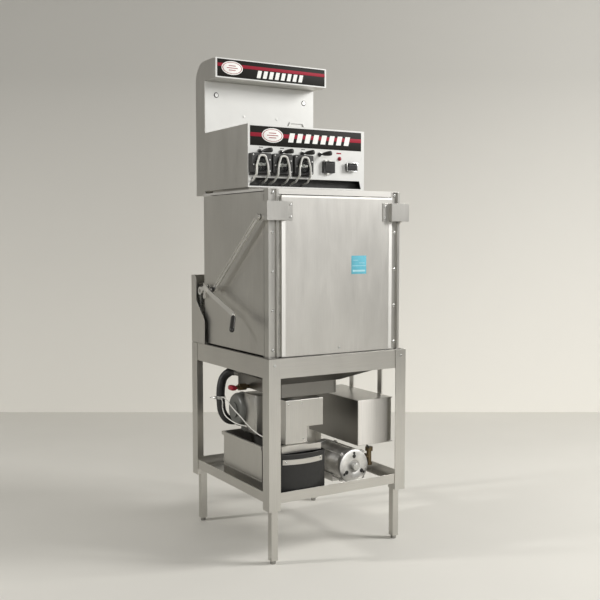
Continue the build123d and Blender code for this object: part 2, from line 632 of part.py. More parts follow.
FAN_Z = 2010.0
FAN_Y = (VENT_FRONT + VENT_REAR) / 2
coil_box = block(-250, 250, VENT_FRONT + 12, VENT_REAR - 12, 1660, 1664)
coil_box += block(-250, 250, VENT_FRONT + 12, VENT_REAR - 12, 1856, 1860)
for fin in range(26):
    coil_box += block(-245 + fin * 19.5, -243.5 + fin * 19.5, VENT_FRONT + 14, VENT_REAR - 14, 1664, 1856)
for row in range(5):
    for tube_y in (VENT_FRONT + 32, VENT_REAR - 32):
        coil_box += rod((-270, tube_y, 1686 + row * 36), (270, tube_y, 1686 + row * 36), 6)
coil_box += block(-297.5, 297.5, FAN_Y - 10, FAN_Y + 10, FAN_Z - 70, FAN_Z - 66)
coil_box += rod((0, FAN_Y, FAN_Z - 66), (0, FAN_Y, FAN_Z - 20), 30)
coil_box += rod((0, FAN_Y, FAN_Z - 21), (0, FAN_Y, FAN_Z + 14), 4)
for bracket in both(block(-297.5, -240, FAN_Y - 20, FAN_Y + 20, 1656, 1660)):
    coil_box += bracket
save("condenser_coil", coil_box)

fan = rod((0, FAN_Y, FAN_Z - 14), (0, FAN_Y, FAN_Z + 12), 12)
for blade in range(6):
    fan += Pos(0, FAN_Y, FAN_Z) * Rot(0, 0, blade * 60) * Rot(30, 0, 0) * Pos(24, 0, 0) * Box(30, 14, 2)
save("vent_fan", fan - rod((0, FAN_Y, FAN_Z - 20), (0, FAN_Y, FAN_Z + 20), 4 + RUN_GAP))

# Equipment under the tank ---------------------------------------------------
MOTOR_Y = 56.0
MOTOR_Z = 578.0
MOTOR_R = 76.0
motor = rod((-276, MOTOR_Y, MOTOR_Z), (-66, MOTOR_Y, MOTOR_Z), MOTOR_R)
motor = fillet(motor.edges().group_by(Axis.X)[0], 22)
motor += rod((-284, MOTOR_Y, MOTOR_Z), (-270, MOTOR_Y, MOTOR_Z), 34)
for ring_x in (-232, -100):
    motor += rod((ring_x - 3, MOTOR_Y, MOTOR_Z), (ring_x + 3, MOTOR_Y, MOTOR_Z), MOTOR_R + 3)
motor += block(-252, -150, -104, 4, 489, 662)
motor += block(-220, -90, MOTOR_Y - 45, MOTOR_Y + 45, 471, 510)
save("wash_motor", motor)

volute = rod((-65.5, MOTOR_Y, MOTOR_Z), (-10, MOTOR_Y, MOTOR_Z), 84)
volute += rod((-10, MOTOR_Y, MOTOR_Z), (14, MOTOR_Y, MOTOR_Z), 34)
volute += rod((-36, MOTOR_Y - 40, MOTOR_Z), (-36, MOTOR_Y - 40, 682), 19)
volute += rod((-205, 165, 504), (-30, 165, 504), 18) + block(-60, -24, 100, 165, 490, 530)
save("wash_pump", volute)

HOSE_R = 20.0
hose_start = Vector(-230, 152, 738)
hose_end = Vector(-205, 165, 504)
hose_path = Spline(hose_start, (-262, 182, 718), (-282, 186, 660), (-284, 184, 610), (-280, 183, 560),
                   (-258, 176, 512), hose_end,
                   tangents=[Vector(-25, 56, 8), Vector(1, 0, 0)])
hose = sweep(Plane(origin=hose_start, z_dir=hose_path % 0) * Circle(HOSE_R), path=hose_path)
save("suction_hose", hose)

VALVE_Y = 0.0
VALVE_Z = 690.0
valve = rod((-296, VALVE_Y, VALVE_Z), (-235.2, VALVE_Y, VALVE_Z), 9)
valve += rod((-284, VALVE_Y, VALVE_Z), (-250, VALVE_Y, VALVE_Z), 15)
valve += rod((-300, VALVE_Y, VALVE_Z), (-296, VALVE_Y, VALVE_Z), 6)
handle = rod((-330, VALVE_Y, VALVE_Z), (-300.5, VALVE_Y, VALVE_Z), 7)
handle += block(-326, -304, VALVE_Y - 24, VALVE_Y + 24, VALVE_Z - 5, VALVE_Z + 5)
save("valve_handle", fillet(handle.edges().filter_by(Axis.X), 2))

tray_box = (-300, -152, -242, 120, DECK_TOP, 462)
accumulator = hollow(tray_box, 2, 5)
accumulator += (block(-308, -144, -250, 128, 455, 471) - block(-298, -154, -240, 118, 454, 472))
accumulator += block(-303, -149, -245, 123, 312, 318) - block(-299, -153, -241, 119, 311, 319)
save("accumulator_box", accumulator)

cover = prism_y([(-229, 672), (-40, 672), (-40, 552), (-125, 552), (-125, 484), (-229, 484)], -322, -240)
save("motor_cover", fillet(cover.edges().group_by(Axis.Y)[0], 3) - prism_y(
    [(-227, 670), (-42, 670), (-42, 554), (-127, 554), (-127, 486), (-227, 486)], -319, -239))

DRUM_TOP = 452.0
drum_outline = Pos(-168, -118) * Circle(264) & Pos(-168, -318) * Rectangle(236, 132)
drum_plan = Plane.XY.offset(DECK_TOP) * drum_outline
drum = extrude(drum_plan, DRUM_TOP - DECK_TOP)
drum = fillet(drum.edges().filter_by(Axis.Z).group_by(Axis.Y)[0], 14)
drum_skin = drum - Pos(0, 6, 3) * (drum & block(-283, -54, -390, -262, 200, 600))
save("front_drum", drum_skin)
strip = (Plane.XY.offset(411) * (Pos(-168, -118) * Circle(267) - Pos(-168, -118) * Circle(264.1)))
strap_ring = extrude(strip, 21) & block(-268, -74, -400, -330, 400, 440)
hanger = block(-262, -66, -346, -343, 452.5, 482) + block(-262, -66, -346, -318, 479, 482)
save("drum_brackets", strap_ring, hanger)

DRAIN_X = 122.0
DRAIN_Z = 346.0
DRAIN_R = 76.0
can = rod((DRAIN_X, -296, DRAIN_Z), (DRAIN_X, -96, DRAIN_Z), DRAIN_R - 5)
end_bell = rod((DRAIN_X, -322, DRAIN_Z), (DRAIN_X, -296, DRAIN_Z), DRAIN_R)
end_bell = fillet(end_bell.edges().group_by(Axis.Y)[0], 10)
end_bell += rod((DRAIN_X, -96, DRAIN_Z), (DRAIN_X, -70, DRAIN_Z), DRAIN_R)
for quarter in range(4):
    angle = radians(45 + quarter * 90)
    x, z = DRAIN_X + 79 * cos(angle), DRAIN_Z + 79 * sin(angle)
    end_bell += rod((x, -310, z), (x, -297, z), 9) + rod((x, -95, z), (x, -82, z), 9)
    end_bell += rod((x, -316, z), (x, -76, z), 3.5)
end_bell -= rod((DRAIN_X, -330, DRAIN_Z), (DRAIN_X, -310, DRAIN_Z), 19)
end_bell += block(DRAIN_X - 60, DRAIN_X + 60, -240, -140, DECK_TOP, 300)
save("drain_motor", can + end_bell)
hub = rod((DRAIN_X, -343, DRAIN_Z), (DRAIN_X, -310.4, DRAIN_Z), 17)
save("drain_motor_hub", fillet(hub.edges().group_by(Axis.Y)[0], 3))

BOX_X0, BOX_X1 = 138.0, 328.0
heater = block(BOX_X0, BOX_X1, -330, 80, 437, 640)
heater -= block(BOX_X1 - 26, BOX_X1 + 1, -331, -320, 440, 637)
for hanger_y in (-230, 0):
    heater += block(338, RAIL_IN, hanger_y, hanger_y + 30, 560, 810)
    heater += block(BOX_X1 - 2, RAIL_IN, hanger_y, hanger_y + 30, 560, 563)
save("heater_box", heater - block(BOX_X0 + 3, BOX_X1 - 30, -327, 77, 440, 637))

brass = rod((226, -292, 346), (226, -292, 398), 11) + rod((205, -292, 372), (226, -292, 372), 9)
brass += rod((226, -292, 398), (226, -292, 416), 17) + rod((226, -292, 334), (226, -292, 346), 15)
brass += rod((226, -292, 372), (226, -262, 372), 8)
save("valves", valve, brass)


# Screws ---------------------------------------------------------------------
def screw(point, axis, radius=6.0, height=3.0):
    """A domed screw head standing on a face; axis points out of the face."""
    a = Vector(*axis)
    base = Vector(*point)
    dome = rod(point, base + a * height, radius)
    return dome


heads = []
for side in (-1, 1):
    for z in (897, 1059, 1220, 1382, 1545):
        heads.append(screw((side * 309.5, BODY_FRONT + 9, z), (0, -1, 0), 7, 5))
    for y, out in ((FRAME_FRONT, -1), (FRAME_REAR, 1)):
        heads.append(screw((side * 322, y, 836), (0, out, 0), 6, 2.5))
for x, z, r in ((-240, 2028, 9), (241, 2026, 9), (-94, 1937, 4.5), (87, 1937, 4.5)):
    heads.append(screw((x, VENT_FRONT - 2, z), (0, -1, 0), r, 3))
for x, z in ((-214, 655), (-150, 655), (-214, 500), (-140, 500)):
    heads.append(screw((x, -322, z), (0, -1, 0), 4, 2))
save("body_screws", *heads)
door_heads = [screw((side * 240, DOOR_FRONT - 3, z), (0, -1, 0), 5, 3)
              for side in (-1, 1) for z in (1445, 1495)]
door_heads.append(screw((3, DOOR_FRONT, 892), (0, -1, 0), 5, 2.5))
save("door_screws", *door_heads)
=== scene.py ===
"""Looks of the door-type dishwasher: materials, printed plates, fixings, springs and small parts."""

import math

import bmesh
import bpy
from mathutils import Matrix, Vector


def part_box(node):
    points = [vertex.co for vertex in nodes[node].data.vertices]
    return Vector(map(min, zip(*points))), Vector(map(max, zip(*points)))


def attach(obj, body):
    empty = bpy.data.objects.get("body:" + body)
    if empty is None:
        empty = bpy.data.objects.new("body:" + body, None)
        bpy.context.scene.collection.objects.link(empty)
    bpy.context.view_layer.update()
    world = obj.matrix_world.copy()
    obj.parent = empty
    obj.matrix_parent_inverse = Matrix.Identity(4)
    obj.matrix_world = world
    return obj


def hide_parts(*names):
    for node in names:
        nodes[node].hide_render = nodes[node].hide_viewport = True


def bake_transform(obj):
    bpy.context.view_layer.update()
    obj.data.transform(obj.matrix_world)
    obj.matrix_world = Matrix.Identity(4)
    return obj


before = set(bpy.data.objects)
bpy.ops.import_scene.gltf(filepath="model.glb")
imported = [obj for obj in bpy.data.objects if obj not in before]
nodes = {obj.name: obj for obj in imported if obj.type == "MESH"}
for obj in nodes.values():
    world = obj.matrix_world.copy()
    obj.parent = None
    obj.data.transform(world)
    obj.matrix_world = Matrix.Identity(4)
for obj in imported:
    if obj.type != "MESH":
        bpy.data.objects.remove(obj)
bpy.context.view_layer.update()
MM = 0.001


# Node helpers ---------------------------------------------------------------
class Shader:
    """A principled material with a small vocabulary for procedural surfaces."""

    def __init__(self, name, colour, rough, metal=0.0, **sockets):
        self.mat = bpy.data.materials.new(name)
        self.mat.use_nodes = True
        self.tree = self.mat.node_tree
        self.bsdf = self.tree.nodes["Principled BSDF"]
        self.colour = colour
        self.set(**{"Base Color": (*colour, 1), "Roughness": rough, "Metallic": metal}, **sockets)
        self.coords = self.tree.nodes.new("ShaderNodeTexCoord").outputs["Object"]

    def set(self, **sockets):
        for key, value in sockets.items():
            self.bsdf.inputs[key.replace("_", " ")].default_value = value

    def link(self, out, socket):
        self.tree.links.new(out, self.bsdf.inputs[socket])

    def noise(self, scale, stretch=(1, 1, 1), detail=4.0, roughness=0.55):
        """Noise in object space; scale is in features per metre along an unstretched axis."""
        mapping = self.tree.nodes.new("ShaderNodeMapping")
        mapping.inputs["Scale"].default_value = stretch
        self.tree.links.new(self.coords, mapping.inputs["Vector"])
        node = self.tree.nodes.new("ShaderNodeTexNoise")
        node.inputs["Scale"].default_value = scale
        node.inputs["Detail"].default_value = detail
        node.inputs["Roughness"].default_value = roughness
        self.tree.links.new(mapping.outputs["Vector"], node.inputs["Vector"])
        return node.outputs["Fac"]

    def spread(self, value, low, high, start=0.3, end=0.7):
        """The value mapped from start..end to low..high."""
        node = self.tree.nodes.new("ShaderNodeMapRange")
        for key, number in (("From Min", start), ("From Max", end), ("To Min", low), ("To Max", high)):
            node.inputs[key].default_value = number
        self.tree.links.new(value, node.inputs["Value"])
        return node.outputs["Result"]

    def times(self, a, b):
        node = self.tree.nodes.new("ShaderNodeMath")
        node.operation = "MULTIPLY"
        self.tree.links.new(a, node.inputs[0])
        self.tree.links.new(b, node.inputs[1])
        return node.outputs[0]

    def tint(self, value, low, high):
        """The base colour as a mix between two colours."""
        node = self.tree.nodes.new("ShaderNodeMix")
        node.data_type = "RGBA"
        node.inputs["A"].default_value = (*low, 1)
        node.inputs["B"].default_value = (*high, 1)
        self.tree.links.new(value, node.inputs["Factor"])
        self.link(node.outputs["Result"], "Base Color")

    def relief(self, value, strength, distance=0.0005, edge=0.0):
        """A bump from the value, over edges softened by a small radius."""
        bump = self.tree.nodes.new("ShaderNodeBump")
        bump.inputs["Strength"].default_value = strength
        bump.inputs["Distance"].default_value = distance
        self.tree.links.new(value, bump.inputs["Height"])
        if edge:
            bevel = self.tree.nodes.new("ShaderNodeBevel")
            bevel.samples = 4
            bevel.inputs["Radius"].default_value = edge
            self.tree.links.new(bevel.outputs["Normal"], bump.inputs["Normal"])
        self.link(bump.outputs["Normal"], "Normal")


def shade(colour, factor):
    return tuple(min(1.0, channel * factor) for channel in colour)


# Materials ------------------------------------------------------------------
def brushed(name, colour, rough, grain=(1, 1, 0.012), depth=0.05):
    """Sheet steel with a fine grain along one axis, faint clouding and handling marks."""
    s = Shader(name, colour, rough, metal=1.0)
    lines = s.noise(700, grain, detail=3)
    cloud = s.noise(3.5, (1, 1, 0.5), detail=4)
    smear = s.noise(16, (1, 1, 0.25), detail=6, roughness=0.65)
    s.tint(s.spread(s.times(lines, cloud), 0, 1, 0.14, 0.38), shade(colour, 0.93), shade(colour, 1.05))
    s.link(s.spread(smear, rough - 0.02, rough + 0.03), "Roughness")
    s.relief(lines, depth, 0.0002, edge=0.0009)
    return s.mat


def enamel(name, colour, rough=0.32):
    """Sprayed paint with a faint orange-peel surface and slight soiling."""
    s = Shader(name, colour, rough, Coat_Weight=0.15, Coat_Roughness=0.2)
    s.tint(s.spread(s.noise(7, detail=6), 0, 1), shade(colour, 0.955), colour)
    s.link(s.spread(s.noise(40), rough - 0.05, rough + 0.09), "Roughness")
    s.relief(s.noise(420, detail=2), 0.05, 0.0003, edge=0.001)
    return s.mat


def moulded(name, colour, rough=0.5, grain=0.12):
    """Moulded plastic with a fine spark-eroded texture."""
    s = Shader(name, colour, rough)
    s.tint(s.spread(s.noise(30, detail=6), 0, 1), shade(colour, 0.8), shade(colour, 1.25))
    s.link(s.spread(s.noise(160), rough - 0.1, rough + 0.1), "Roughness")
    s.relief(s.noise(1500, detail=3), grain, 0.0002, edge=0.0007)
    return s.mat


def cast(name, colour, rough=0.42, metal=1.0):
    """Cast metal with a pebbled skin."""
    s = Shader(name, colour, rough, metal=metal)
    s.tint(s.spread(s.noise(24, detail=7), 0, 1), shade(colour, 0.72), shade(colour, 1.1))
    s.link(s.spread(s.noise(90), rough - 0.1, rough + 0.16), "Roughness")
    s.relief(s.noise(700, detail=5), 0.35, 0.0004, edge=0.0012)
    return s.mat


def rubber(name):
    """Black hose rubber with a dusty bloom and fine moulding lines."""
    s = Shader(name, (0.022, 0.021, 0.02), 0.55)
    s.tint(s.spread(s.noise(14, detail=7), 0, 1), (0.008, 0.008, 0.008), (0.03, 0.029, 0.027))
    s.link(s.spread(s.noise(60), 0.42, 0.7), "Roughness")
    s.relief(s.noise(520, (1, 1, 0.2), detail=4), 0.2, 0.0004)
    return s.mat


def clear(name, colour, weight, rough=0.06):
    """Clear or milky plastic: it lets light through and has fine scratches."""
    s = Shader(name, colour, rough, Transmission_Weight=weight, IOR=1.46)
    s.link(s.spread(s.noise(200, (1, 1, 0.05), detail=4), rough, rough + 0.14), "Roughness")
    s.relief(s.noise(90, detail=3), 0.04, 0.0003)
    return s.mat


def printed(name, colour, rough=0.55):
    """Ink on a polyester plate."""
    s = Shader(name, colour, rough, Specular_IOR_Level=0.12)
    s.tint(s.spread(s.noise(60, detail=5), 0, 1), shade(colour, 0.93), shade(colour, 1.06))
    s.relief(s.noise(900, detail=2), 0.03, 0.0002)
    return s.mat


STEEL = brushed("brushed_steel_upright", (0.59, 0.577, 0.543), 0.33)
STEEL_LEVEL = brushed("brushed_steel_level", (0.60, 0.585, 0.55), 0.33, grain=(0.012, 0.012, 1))
STEEL_DULL = brushed("dull_steel", (0.34, 0.335, 0.315), 0.34, depth=0.06)
# painted light: a brighter copy of the steel for the front-lit faces of the levers and links
LIT_BAR_STEEL = brushed("bar_painted_light_steel", (0.70, 0.69, 0.66), 0.38, depth=0.03)
# painted highlight: a brighter steel for the lit folded edges of the door
EDGE_HIGHLIGHT_STEEL = brushed("edge_painted_highlight_steel", (0.74, 0.73, 0.70), 0.5, depth=0.03)
# painted shade: a darker copy of the steel for the tank deep under the machine and for the heater's left face
SHADED_TANK_STEEL = brushed("tank_painted_shade_steel", (0.25, 0.242, 0.225), 0.3, depth=0.05)
# painted light: a paler copy of the steel for the heater's front face
PALE_STEEL_LIT = brushed("pale_painted_light_steel", (0.80, 0.78, 0.745), 0.55, depth=0.03)
DOOR_STEEL = brushed("door_steel", (0.64, 0.625, 0.59), 0.38)
# painted shade: a darker copy of the steel that tones down the strongly lit hood
SHADED_HOOD_STEEL = brushed("hood_painted_shade_steel", (0.52, 0.51, 0.485), 0.5, grain=(0.012, 0.012, 1))
ZINC = cast("zinc_plate", (0.62, 0.62, 0.6), 0.28)
WHITE = enamel("white_enamel", (0.68, 0.68, 0.657))
BLACK_PAINT = enamel("black_enamel", (0.006, 0.0058, 0.005), 0.5)
MOTOR_PAINT = enamel("motor_grey_enamel", (0.12, 0.123, 0.112), 0.4)
ALLOY = cast("cast_alloy", (0.6, 0.59, 0.57), 0.4)
BELL = cast("bright_alloy", (0.82, 0.81, 0.78), 0.45)
FINS = cast("fin_alloy", (0.7, 0.7, 0.7), 0.3)
BRASS = cast("brass", (0.20, 0.15, 0.085), 0.38)
NYLON = moulded("white_nylon", (0.8, 0.79, 0.74), 0.45)
BLACK = moulded("black_plastic", (0.022, 0.021, 0.02), 0.42)
GREY = moulded("grey_plastic", (0.62, 0.61, 0.57), 0.4)
RED = moulded("red_plastic", (0.3, 0.01, 0.025), 0.32, grain=0.05)
RUBBER = rubber("hose_rubber")
CLEAR = clear("clear_plastic", (0.9, 0.92, 0.9), 1.0)
MILKY = clear("milky_tube", (0.86, 0.85, 0.8), 0.35, 0.25)
INK_BLACK = printed("ink_black", (0.012, 0.011, 0.009))
INK_RED = printed("ink_red", (0.28, 0.014, 0.03))
INK_WHITE = printed("ink_white", (0.82, 0.82, 0.79))
INK_BLUE = printed("ink_blue", (0.13, 0.42, 0.52))
INK_PALE = printed("ink_pale", (0.36, 0.60, 0.66))

LOOKS = {
    STEEL: ["legs", "chamber_panels", "guide_posts", "control_box", "vent_housing", "rear_housing",
            "heater_box", "accumulator_box", "motor_cover", "leg_extensions", "rack_guide", "wash_manifold",
            "door_brackets"],
    SHADED_HOOD_STEEL: ["chamber_hood"],
    STEEL_LEVEL: ["frame_rails", "drum_brackets", "lower_wash_arm", "upper_wash_arm"],
    DOOR_STEEL: ["front_door"],
    SHADED_TANK_STEEL: ["sump_tank"],
    STEEL_DULL: ["scrap_screens", "equipment_deck", "cross_shaft", "leveling_feet"],
    LIT_BAR_STEEL: ["levers", "door_links"],
    ZINC: ["lift_springs", "body_screws", "door_screws", "drain_motor_hub"],
    WHITE: ["control_panel", "vent_front_panels"],
    BLACK_PAINT: ["front_drum"],
    MOTOR_PAINT: ["wash_motor"],
    ALLOY: ["wash_pump", "drain_motor"],
    FINS: ["condenser_coil"],
    BRASS: ["valves"],
    NYLON: ["door_shoes", "door_tracks"],
    BLACK: ["lever_grips", "link_rollers", "shaft_bearings", "pump_housings", "toggle_1", "toggle_2",
            "toggle_3", "toggle_4", "rocker_left", "rocker_right", "switch_mounts", "vent_fan"],
    GREY: ["pump_rotor_1", "pump_rotor_2", "pump_rotor_3"],
    RED: ["indicator_lamp", "valve_handle"],
    RUBBER: ["suction_hose"],
    CLEAR: ["pump_covers"],
    MILKY: ["squeeze_tubes"],
}
for look, members in LOOKS.items():
    for member in members:
        for material_slot in nodes[member].material_slots:
            material_slot.material = look


# Mesh helpers ---------------------------------------------------------------
def add_piece(name, bm, material, body, smooth=True):
    """A finished piece from a bmesh, riding on a body."""
    mesh = bpy.data.meshes.new(name)
    bmesh.ops.recalc_face_normals(bm, faces=bm.faces)
    bm.to_mesh(mesh)
    bm.free()
    mesh.materials.append(material)
    obj = bpy.data.objects.new(name, mesh)
    bpy.context.scene.collection.objects.link(obj)
    if smooth:
        mesh.shade_smooth()
        mesh.set_sharp_from_angle(angle=math.radians(35))
    if body:
        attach(obj, body)
    return obj


def rounded_box(bm, low, high, radius, segments=3):
    """Adds a box with rounded edges between two corners."""
    low, high = Vector(low), Vector(high)
    made = bmesh.ops.create_cube(bm, size=1.0)
    verts = made["verts"]
    size = high - low
    for vert in verts:
        vert.co = (low + high) / 2 + Vector(vert.co[i] * size[i] for i in range(3))
    edges = list({edge for vert in verts for edge in vert.link_edges})
    radius = min(radius, min(size) * 0.45)
    bmesh.ops.bevel(bm, geom=edges, offset=radius, segments=segments, profile=0.5, affect="EDGES")


def turned(bm, rings, centre, axis, steps=32, hexed=()):
    """Adds a turned solid: (radius, height) rings along the axis; rings listed in hexed are hexagonal."""
    turn = Vector(axis).to_track_quat("Z", "Y").to_matrix()
    loops = []
    for index, (radius, height) in enumerate(rings):
        loop = []
        for step in range(steps):
            angle = 2 * math.pi * step / steps
            reach = radius
            if index in hexed:
                off_flat = (angle + math.pi / 6) % (math.pi / 3) - math.pi / 6
                reach = radius * math.cos(math.pi / 6) / math.cos(off_flat)
            spot = turn @ Vector((reach * math.cos(angle), reach * math.sin(angle), height))
            loop.append(bm.verts.new(Vector(centre) + spot))
        loops.append(loop)
    for lower, upper in zip(loops, loops[1:]):
        for step in range(steps):
            follow = (step + 1) % steps
            bm.faces.new((lower[step], lower[follow], upper[follow], upper[step]))
    bm.faces.new(list(reversed(loops[0])))
    bm.faces.new(loops[-1])


def swept(bm, points, radius, steps=12):
    """Adds a round wire along a list of points."""
    points = [Vector(p) for p in points]
    side = Vector((0, 0, 1))
    loops = []
    for index, point in enumerate(points):
        before = points[max(index - 1, 0)]
        after = points[min(index + 1, len(points) - 1)]
        along = (after - before).normalized()
        across = along.cross(side)
        if across.length < 0.05:
            across = along.cross(Vector((1, 0, 0)))
        across.normalize()
        side = across.cross(along).normalized()
        ring = [point + radius * (math.cos(a) * across + math.sin(a) * side)
                for a in (2 * math.pi * step / steps for step in range(steps))]
        loops.append([bm.verts.new(p) for p in ring])
    for lower, upper in zip(loops, loops[1:]):
        for step in range(steps):
            follow = (step + 1) % steps
            bm.faces.new((lower[step], lower[follow], upper[follow], upper[step]))
    bm.faces.new(list(reversed(loops[0])))
    bm.faces.new(loops[-1])


def islands(node):
    """The lowest and highest corner of each separate solid of a CAD node."""
    bm = bmesh.new()
    bm.from_mesh(nodes[node].data)
    bmesh.ops.remove_doubles(bm, verts=bm.verts, dist=1e-6)
    left = set(bm.verts)
    found = []
    while left:
        stack = [left.pop()]
        group = [stack[0]]
        while stack:
            for edge in stack.pop().link_edges:
                for vert in edge.verts:
                    if vert in left:
                        left.remove(vert)
                        stack.append(vert)
                        group.append(vert)
        low = Vector(min(v.co[i] for v in group) for i in range(3))
        high = Vector(max(v.co[i] for v in group) for i in range(3))
        found.append((low, high))
    bm.free()
    return sorted(found, key=lambda pair: tuple(round(c, 4) for c in pair[0]))


# Screws ---------------------------------------------------------------------
def screw_heads(node, body):
    """Pan heads with a hexagon socket in place of the plain screw cylinders of a node."""
    bm = bmesh.new()
    for low, high in islands(node):
        size = high - low
        thin = min(range(3), key=lambda i: size[i])
        axis = Vector((0, 0, 0))
        middle = (low + high) / 2
        # Beyond 0.2 m along its own axis a head looks the positive way, otherwise the negative way.
        axis[thin] = -1 if middle[thin] < 0.2 else 1
        base = middle.copy()
        base[thin] = high[thin] if axis[thin] < 0 else low[thin]
        radius = max(size) / 2
        height = size[thin]
        rings = [(radius, 0), (radius, height * 0.35), (radius * 0.93, height * 0.72),
                 (radius * 0.72, height * 0.95), (radius * 0.5, height), (radius * 0.46, height * 0.96),
                 (radius * 0.44, height * 0.35), (radius * 0.1, height * 0.3)]
        turned(bm, rings, base, axis, steps=24, hexed=(5, 6))
    piece = add_piece(node + "_heads", bm, ZINC, body)
    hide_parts(node)


def recess_liner():
    """The black lining of the tube recess under the control panel."""
    low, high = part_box("control_panel")
    slot_top, slot_floor, wall = 1.6188, 1.5792, 0.0012
    front, back = low.y + 0.0022, high.y - 0.0022
    bm = bmesh.new()
    rounded_box(bm, (-0.2985, back - wall, slot_floor), (0.2985, back, slot_top), 0.0004, 1)
    rounded_box(bm, (-0.2985, front, slot_top - wall), (0.2985, back, slot_top), 0.0004, 1)
    rounded_box(bm, (-0.2985, front, slot_floor), (0.2985, back, slot_floor + wall), 0.0004, 1)
    for side in (-1, 1):
        outer, inner = sorted((side * 0.2985, side * 0.2973))
        rounded_box(bm, (outer, front, slot_floor), (inner, back, slot_top), 0.0004, 1)
    return add_piece("tube_recess_liner", bm, BLACK, "machine")


recess_liner()
screw_heads("body_screws", "machine")
screw_heads("door_screws", "door")


# Lift springs ---------------------------------------------------------------
def lift_springs():
    """Close coils with a straight lead at each end, attached to no body."""
    bm = bmesh.new()
    wire = 2.0 * MM
    for low, high in islands("lift_springs"):
        centre = (low + high) / 2
        reach = (high.x - low.x) / 2 - wire
        bottom, top = low.z + 22 * MM, high.z - 26 * MM
        turns = 44
        points = [(centre.x, centre.y, low.z + wire), (centre.x, centre.y, bottom - 5 * MM)]
        steps = turns * 14
        for step in range(steps + 1):
            angle = 2 * math.pi * turns * step / steps
            ease = min(1.0, step / 10, (steps - step) / 10)
            points.append((centre.x + reach * ease * math.cos(angle),
                           centre.y + reach * ease * math.sin(angle),
                           bottom + (top - bottom) * step / steps))
        points += [(centre.x, centre.y, top + 5 * MM), (centre.x, centre.y, high.z - wire)]
        swept(bm, points, wire, steps=7)
    piece = add_piece("lift_spring_coils", bm, ZINC, None)
    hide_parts("lift_springs")
    return piece


springs = lift_springs()
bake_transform(springs)


# Printed plates -------------------------------------------------------------
def face_plate(name, x0, x1, z0, z1, y, thick, material, body="machine", radius=0.0008):
    """A thin plate standing on a face that looks to the front at the given y."""
    bm = bmesh.new()
    rounded_box(bm, (x0, y - thick, z0), (x1, y, z1), radius, segments=2)
    return add_piece(name, bm, material, body)


def oval_badge(name, x, z, width, height, y, thick, material, slot, inner=None):
    """An oval plate, or an oval ring when an inner scale is given."""
    bm = bmesh.new()
    steps = 72
    rows = [(1.0, 0.0), (1.0, 0.7), (0.985, 1.0)]
    if inner:
        rows += [(inner + 0.01, 1.0), (inner, 0.7), (inner, 0.0)]
    loops = []
    for scale, level in rows:
        loops.append([bm.verts.new((x + width / 2 * scale * math.cos(2 * math.pi * i / steps),
                                    y - thick * level,
                                    z + height / 2 * scale * math.sin(2 * math.pi * i / steps)))
                      for i in range(steps)])
    if inner:
        loops.append(loops[0])
    for lower, upper in zip(loops, loops[1:]):
        for i in range(steps):
            j = (i + 1) % steps
            bm.faces.new((lower[i], lower[j], upper[j], upper[i]))
    if not inner:
        bm.faces.new(loops[0])
        bm.faces.new(loops[-1])
    return add_piece(name, bm, material, "machine")


PANEL_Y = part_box("control_panel")[0].y
CONTROL_BADGE = (-0.183, 1.802)
face_plate("control_label_plate", -0.293, 0.286, 1.756, 1.840, PANEL_Y, 0.0008, INK_BLACK)
face_plate("control_label_stripe", -0.293, 0.286, 1.794, 1.811, PANEL_Y - 0.0008, 0.0003, INK_RED)
oval_badge("control_badge_rim", *CONTROL_BADGE, 0.107, 0.062, PANEL_Y - 0.0011, 0.0008, INK_WHITE,
           "white_enamel")
oval_badge("control_badge_ring", *CONTROL_BADGE, 0.098, 0.053, PANEL_Y - 0.0019, 0.0003, INK_RED,
           "red_plastic", inner=0.93)

VENT_FACE_Y = 0.301
HEAD_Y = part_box("vent_front_panels")[0].y
HEADER_BADGE = (-0.215, 2.137)
face_plate("header_label_plate", -0.290, 0.290, 2.096, 2.175, HEAD_Y + 0.001, 0.0016, INK_BLACK)
face_plate("header_label_stripe", -0.290, 0.290, 2.141, 2.156, HEAD_Y - 0.0006, 0.0003, INK_RED)
oval_badge("header_badge_rim", *HEADER_BADGE, 0.109, 0.062, HEAD_Y - 0.0009, 0.0008, INK_WHITE,
           "white_enamel")
oval_badge("header_badge_ring", *HEADER_BADGE, 0.100, 0.053, HEAD_Y - 0.0017, 0.0003, INK_RED,
           "red_plastic", inner=0.93)


def marker_row(name, start, finish, z, height, y, count):
    """A row of plain slanted strokes, standing for decoration on a plate."""
    bm = bmesh.new()
    pitch = (finish - start) / count
    stroke_verts = 24  # a box whose edges have one bevel segment
    for index in range(count):
        left = start + pitch * index
        rounded_box(bm, (left, y - 0.0004, z - height / 2), (left + pitch * 0.62, y, z + height / 2),
                    0.0004, 1)
        for vert in list(bm.verts)[-stroke_verts:]:
            vert.co.x += (vert.co.z - z) * 0.25
    return add_piece(name, bm, INK_WHITE, "machine")


TOGGLES_X = (-0.246, -0.141, -0.033, 0.058)
TOGGLE_Z = 1.731
marker_row("control_label_strokes", -0.100, 0.235, 1.797, 0.040, PANEL_Y - 0.0011, 8)
marker_row("header_label_strokes", -0.083, 0.176, 2.121, 0.034, HEAD_Y - 0.0009, 8)
for index, toggle_x in enumerate(TOGGLES_X[:3]):
    face_plate(f"toggle_tick_{index + 1}", toggle_x - 0.004, toggle_x + 0.016, 1.7475, 1.7505, PANEL_Y,
               0.0003, INK_BLACK)
face_plate("lamp_tick", 0.150, 0.176, 1.738, 1.744, PANEL_Y, 0.0003, INK_RED)
DOOR_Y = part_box("front_door")[0].y
face_plate("door_sticker", 0.065, 0.143, 1.204, 1.283, DOOR_Y, 0.0004, INK_BLUE, body="door",
           radius=0.0002)


def badge_marks(name, x, z, y):
    """Three plain level bars on a badge."""
    bm = bmesh.new()
    for dz, half in ((0.010, 0.018), (0.0, 0.028), (-0.010, 0.018)):
        rounded_box(bm, (x - half, y - 0.0003, z + dz - 0.0016), (x + half, y, z + dz + 0.0016), 0.0002, 1)
    return add_piece(name, bm, INK_RED, "machine")


